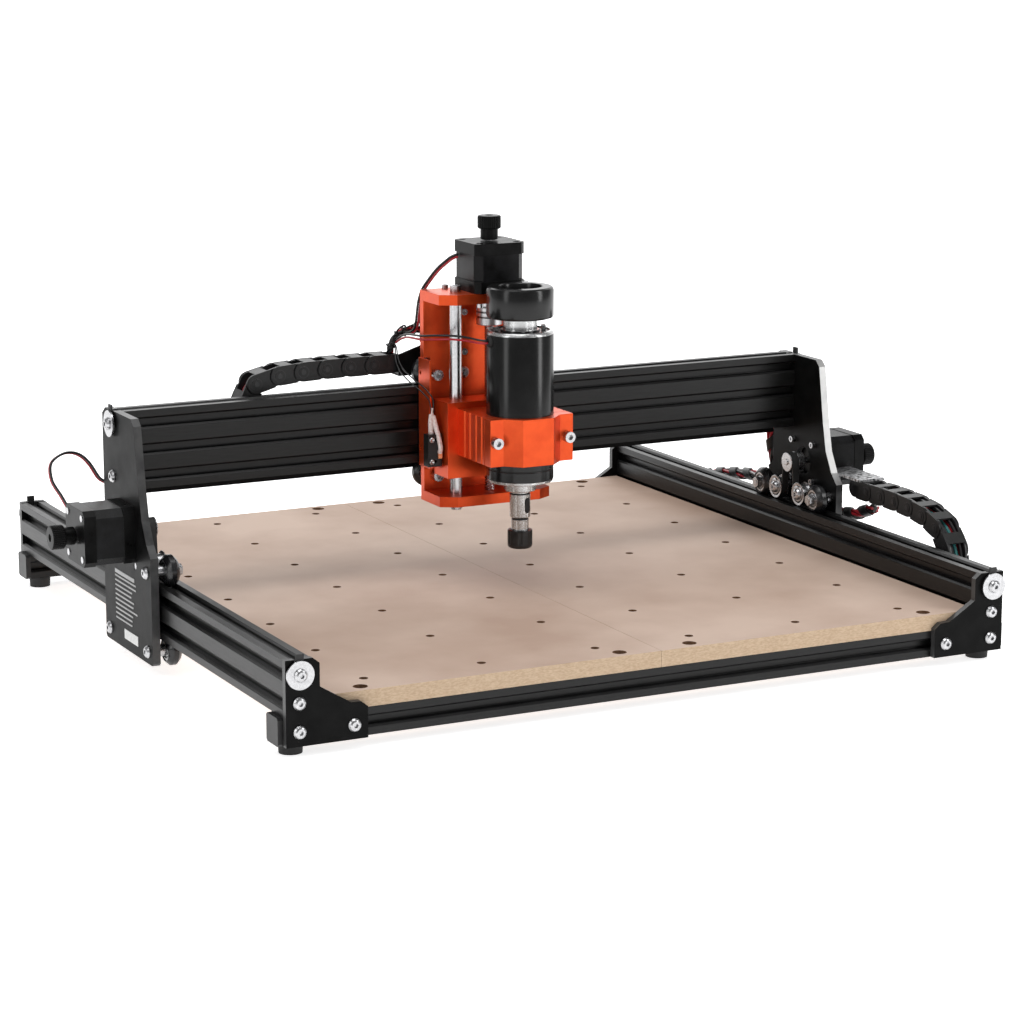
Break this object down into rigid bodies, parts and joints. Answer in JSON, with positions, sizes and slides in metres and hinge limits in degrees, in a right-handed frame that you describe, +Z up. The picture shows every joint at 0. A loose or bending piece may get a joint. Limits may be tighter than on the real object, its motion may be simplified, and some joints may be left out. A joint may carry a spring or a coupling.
{
  "type": "desktop CNC router",
  "caption": "Desktop CNC router: flat board in a slotted black frame, belt-driven gantry, and an orange lead-screw head holding a round black spindle with a collet.",
  "frame": {"origin": "centre of the frame's footprint, on the surface that the rubber feet stand on", "axes": "+X to the right along the beam, seen from the front; +Y to the back, along the side rails; +Z up"},
  "size_m": [0.714, 0.5814, 0.3214],
  "materials": {
    "black_extrusion": "satin black anodised V-slot extrusion",
    "black_plate": "fine-blasted black anodised plate with bright cut edges",
    "orange_anodised": "fine-blasted orange anodised plate",
    "bare_metal": "bare folded sheet and turned aluminium",
    "steel": "plated screws, washers, spacers and nuts",
    "polished_steel": "ground and polished steel rod",
    "spindle_black": "smooth dark anodised spindle housing, semi-gloss",
    "motor_black": "black painted motor, satin",
    "nut_black": "blackened steel collet nut",
    "black_plastic": "moulded black plastic",
    "chain_plastic": "moulded black nylon chain links",
    "wheel_plastic": "turned black acetal",
    "rubber_foot": "matte black rubber",
    "belt_rubber": "black toothed belt",
    "board": "pale pinkish fibreboard with a faint mottle",
    "cable_black": "black flexible wire sleeve",
    "cable_red": "red flexible wire insulation"
  },
  "bodies": {
    "base": {"side_rails": "black_extrusion", "cross_rails": "black_extrusion", "rail_end_caps": "black_plastic", "corner_brackets": "black_plate", "rubber_feet": "rubber_foot", "wasteboards": "board", "frame_screws": "steel", "y_belts": "belt_rubber", "chain_anchor": "bare_metal"},
    "gantry": {"gantry_plates": "black_plate", "x_beam": "black_extrusion", "chain_tray": "black_plate", "chain_bracket": "bare_metal", "x_cable_chain": "chain_plastic", "y_cable_chain": "chain_plastic", "y_motors": "motor_black", "gantry_fasteners": "steel", "gantry_belts": "belt_rubber", "motor_lead": "cable_red", "gantry_loom": "cable_black"},
    "x_carriage": {"z_back_plate": "orange_anodised", "z_end_plates": "orange_anodised", "z_guide_rods": "polished_steel", "z_motor": "motor_black", "x_motor": "motor_black", "x_motor_plate": "black_plate", "carriage_fasteners": "steel", "x_belt_loop": "belt_rubber", "limit_switch": "black_plastic", "switch_wires": "cable_black", "z_motor_lead": "cable_black", "carriage_loom": "cable_black"},
    "z_carriage": {"z_slide": "orange_anodised", "spindle_clamp": "orange_anodised", "spindle_body": "spindle_black", "spindle_lead": "cable_red"},
    "spindle_rotor": {"spindle_shaft": "polished_steel", "collet_nut": "nut_black"},
    "z_screw": {"z_leadscrew": "polished_steel"},
    "left_front_upper_wheel": {"left_front_upper_wheel": "wheel_plastic"},
    "left_front_lower_wheel": {"left_front_lower_wheel": "wheel_plastic"},
    "left_front_idler": {"left_front_idler": "polished_steel"},
    "left_rear_upper_wheel": {"left_rear_upper_wheel": "wheel_plastic"},
    "left_rear_lower_wheel": {"left_rear_lower_wheel": "wheel_plastic"},
    "left_rear_idler": {"left_rear_idler": "polished_steel"},
    "left_motor_pulley": {"left_motor_pulley": "bare_metal"},
    "right_front_upper_wheel": {"right_front_upper_wheel": "wheel_plastic"},
    "right_front_lower_wheel": {"right_front_lower_wheel": "wheel_plastic"},
    "right_front_idler": {"right_front_idler": "polished_steel"},
    "right_rear_upper_wheel": {"right_rear_upper_wheel": "wheel_plastic"},
    "right_rear_lower_wheel": {"right_rear_lower_wheel": "wheel_plastic"},
    "right_rear_idler": {"right_rear_idler": "polished_steel"},
    "right_motor_pulley": {"right_motor_pulley": "bare_metal"},
    "x_upper_left_wheel": {"x_upper_left_wheel": "wheel_plastic"},
    "x_upper_right_wheel": {"x_upper_right_wheel": "wheel_plastic"},
    "x_lower_left_wheel": {"x_lower_left_wheel": "wheel_plastic"},
    "x_lower_right_wheel": {"x_lower_right_wheel": "wheel_plastic"},
    "x_left_idler": {"x_left_idler": "polished_steel"},
    "x_right_idler": {"x_right_idler": "polished_steel"},
    "x_motor_pulley": {"x_motor_pulley": "bare_metal"}
  },
  "joints": [
    {"name": "y_travel", "type": "slide", "parent": "base", "child": "gantry", "axis": [0, 1, 0], "range_m": [-0.2, 0.2], "deforming": ["y_cable_chain"]},
    {"name": "x_travel", "type": "slide", "parent": "gantry", "child": "x_carriage", "axis": [1, 0, 0], "range_m": [-0.2, 0.2], "deforming": ["x_cable_chain"]},
    {"name": "z_travel", "type": "slide", "parent": "x_carriage", "child": "z_carriage", "axis": [0, 0, 1], "range_m": [-0.014, 0.054], "deforming": ["spindle_lead"]},
    {"name": "left_front_upper_wheel_turn", "type": "hinge", "parent": "gantry", "child": "left_front_upper_wheel", "pos_m": [-0.28, -0.041, 0.07775], "axis": [1, 0, 0], "range_deg": [-1176, 1176]},
    {"name": "left_front_lower_wheel_turn", "type": "hinge", "parent": "gantry", "child": "left_front_lower_wheel", "pos_m": [-0.28, -0.041, 0.01825], "axis": [1, 0, 0], "range_deg": [-1176, 1176]},
    {"name": "left_front_idler_turn", "type": "hinge", "parent": "gantry", "child": "left_front_idler", "pos_m": [-0.28, -0.0175, 0.078], "axis": [1, 0, 0], "range_deg": [-1433, 1433]},
    {"name": "left_rear_upper_wheel_turn", "type": "hinge", "parent": "gantry", "child": "left_rear_upper_wheel", "pos_m": [-0.28, 0.041, 0.07775], "axis": [1, 0, 0], "range_deg": [-1176, 1176]},
    {"name": "left_rear_lower_wheel_turn", "type": "hinge", "parent": "gantry", "child": "left_rear_lower_wheel", "pos_m": [-0.28, 0.041, 0.01825], "axis": [1, 0, 0], "range_deg": [-1176, 1176]},
    {"name": "left_rear_idler_turn", "type": "hinge", "parent": "gantry", "child": "left_rear_idler", "pos_m": [-0.28, 0.0175, 0.078], "axis": [1, 0, 0], "range_deg": [-1433, 1433]},
    {"name": "left_motor_pulley_turn", "type": "hinge", "parent": "gantry", "child": "left_motor_pulley", "pos_m": [-0.28, 0, 0.1018], "axis": [1, 0, 0], "range_deg": [-1801, 1801]},
    {"name": "right_front_upper_wheel_turn", "type": "hinge", "parent": "gantry", "child": "right_front_upper_wheel", "pos_m": [0.28, -0.041, 0.07775], "axis": [1, 0, 0], "range_deg": [-1176, 1176]},
    {"name": "right_front_lower_wheel_turn", "type": "hinge", "parent": "gantry", "child": "right_front_lower_wheel", "pos_m": [0.28, -0.041, 0.01825], "axis": [1, 0, 0], "range_deg": [-1176, 1176]},
    {"name": "right_front_idler_turn", "type": "hinge", "parent": "gantry", "child": "right_front_idler", "pos_m": [0.28, -0.0175, 0.078], "axis": [1, 0, 0], "range_deg": [-1433, 1433]},
    {"name": "right_rear_upper_wheel_turn", "type": "hinge", "parent": "gantry", "child": "right_rear_upper_wheel", "pos_m": [0.28, 0.041, 0.07775], "axis": [1, 0, 0], "range_deg": [-1176, 1176]},
    {"name": "right_rear_lower_wheel_turn", "type": "hinge", "parent": "gantry", "child": "right_rear_lower_wheel", "pos_m": [0.28, 0.041, 0.01825], "axis": [1, 0, 0], "range_deg": [-1176, 1176]},
    {"name": "right_rear_idler_turn", "type": "hinge", "parent": "gantry", "child": "right_rear_idler", "pos_m": [0.28, 0.0175, 0.078], "axis": [1, 0, 0], "range_deg": [-1433, 1433]},
    {"name": "right_motor_pulley_turn", "type": "hinge", "parent": "gantry", "child": "right_motor_pulley", "pos_m": [0.28, 0, 0.1018], "axis": [1, 0, 0], "range_deg": [-1801, 1801]},
    {"name": "x_upper_left_wheel_turn", "type": "hinge", "parent": "x_carriage", "child": "x_upper_left_wheel", "pos_m": [-0.0395, 0.026, 0.19775], "axis": [0, 1, 0], "range_deg": [-1176, 1176]},
    {"name": "x_upper_right_wheel_turn", "type": "hinge", "parent": "x_carriage", "child": "x_upper_right_wheel", "pos_m": [0.0355, 0.026, 0.19775], "axis": [0, 1, 0], "range_deg": [-1176, 1176]},
    {"name": "x_lower_left_wheel_turn", "type": "hinge", "parent": "x_carriage", "child": "x_lower_left_wheel", "pos_m": [-0.0395, 0.026, 0.11825], "axis": [0, 1, 0], "range_deg": [-1176, 1176]},
    {"name": "x_lower_right_wheel_turn", "type": "hinge", "parent": "x_carriage", "child": "x_lower_right_wheel", "pos_m": [0.0355, 0.026, 0.11825], "axis": [0, 1, 0], "range_deg": [-1176, 1176]},
    {"name": "x_left_idler_turn", "type": "hinge", "parent": "x_carriage", "child": "x_left_idler", "pos_m": [-0.016, 0.026, 0.198], "axis": [0, 1, 0], "range_deg": [-1433, 1433]},
    {"name": "x_right_idler_turn", "type": "hinge", "parent": "x_carriage", "child": "x_right_idler", "pos_m": [0.015, 0.026, 0.198], "axis": [0, 1, 0], "range_deg": [-1433, 1433]},
    {"name": "x_motor_pulley_turn", "type": "hinge", "parent": "x_carriage", "child": "x_motor_pulley", "pos_m": [-0.0005, 0.026, 0.2299], "axis": [0, 1, 0], "range_deg": [-1801, 1801]},
    {"name": "z_screw_turn", "type": "hinge", "parent": "x_carriage", "child": "z_screw", "pos_m": [-0.002, -0.0095, 0.18], "axis": [0, 0, 1], "range_deg": [-2431, 631]},
    {"name": "spindle_turn", "type": "hinge", "parent": "z_carriage", "child": "spindle_rotor", "pos_m": [-0.002, -0.062, 0.15], "axis": [0, 0, 1], "continuous": true}
  ],
  "couplings": [
    {"joint": "left_front_upper_wheel_turn", "follows": "y_travel", "rad_per_m": -102.56},
    {"joint": "left_front_lower_wheel_turn", "follows": "y_travel", "rad_per_m": 102.56},
    {"joint": "left_front_idler_turn", "follows": "y_travel", "rad_per_m": -125},
    {"joint": "left_rear_upper_wheel_turn", "follows": "y_travel", "rad_per_m": -102.56},
    {"joint": "left_rear_lower_wheel_turn", "follows": "y_travel", "rad_per_m": 102.56},
    {"joint": "left_rear_idler_turn", "follows": "y_travel", "rad_per_m": -125},
    {"joint": "left_motor_pulley_turn", "follows": "y_travel", "rad_per_m": 157.08},
    {"joint": "right_front_upper_wheel_turn", "follows": "y_travel", "rad_per_m": -102.56},
    {"joint": "right_front_lower_wheel_turn", "follows": "y_travel", "rad_per_m": 102.56},
    {"joint": "right_front_idler_turn", "follows": "y_travel", "rad_per_m": -125},
    {"joint": "right_rear_upper_wheel_turn", "follows": "y_travel", "rad_per_m": -102.56},
    {"joint": "right_rear_lower_wheel_turn", "follows": "y_travel", "rad_per_m": 102.56},
    {"joint": "right_rear_idler_turn", "follows": "y_travel", "rad_per_m": -125},
    {"joint": "right_motor_pulley_turn", "follows": "y_travel", "rad_per_m": 157.08},
    {"joint": "x_upper_left_wheel_turn", "follows": "x_travel", "rad_per_m": 102.56},
    {"joint": "x_upper_right_wheel_turn", "follows": "x_travel", "rad_per_m": 102.56},
    {"joint": "x_lower_left_wheel_turn", "follows": "x_travel", "rad_per_m": -102.56},
    {"joint": "x_lower_right_wheel_turn", "follows": "x_travel", "rad_per_m": -102.56},
    {"joint": "x_left_idler_turn", "follows": "x_travel", "rad_per_m": 125},
    {"joint": "x_right_idler_turn", "follows": "x_travel", "rad_per_m": 125},
    {"joint": "x_motor_pulley_turn", "follows": "x_travel", "rad_per_m": -157.08},
    {"joint": "z_screw_turn", "follows": "z_travel", "rad_per_m": -785.4}
  ]
}
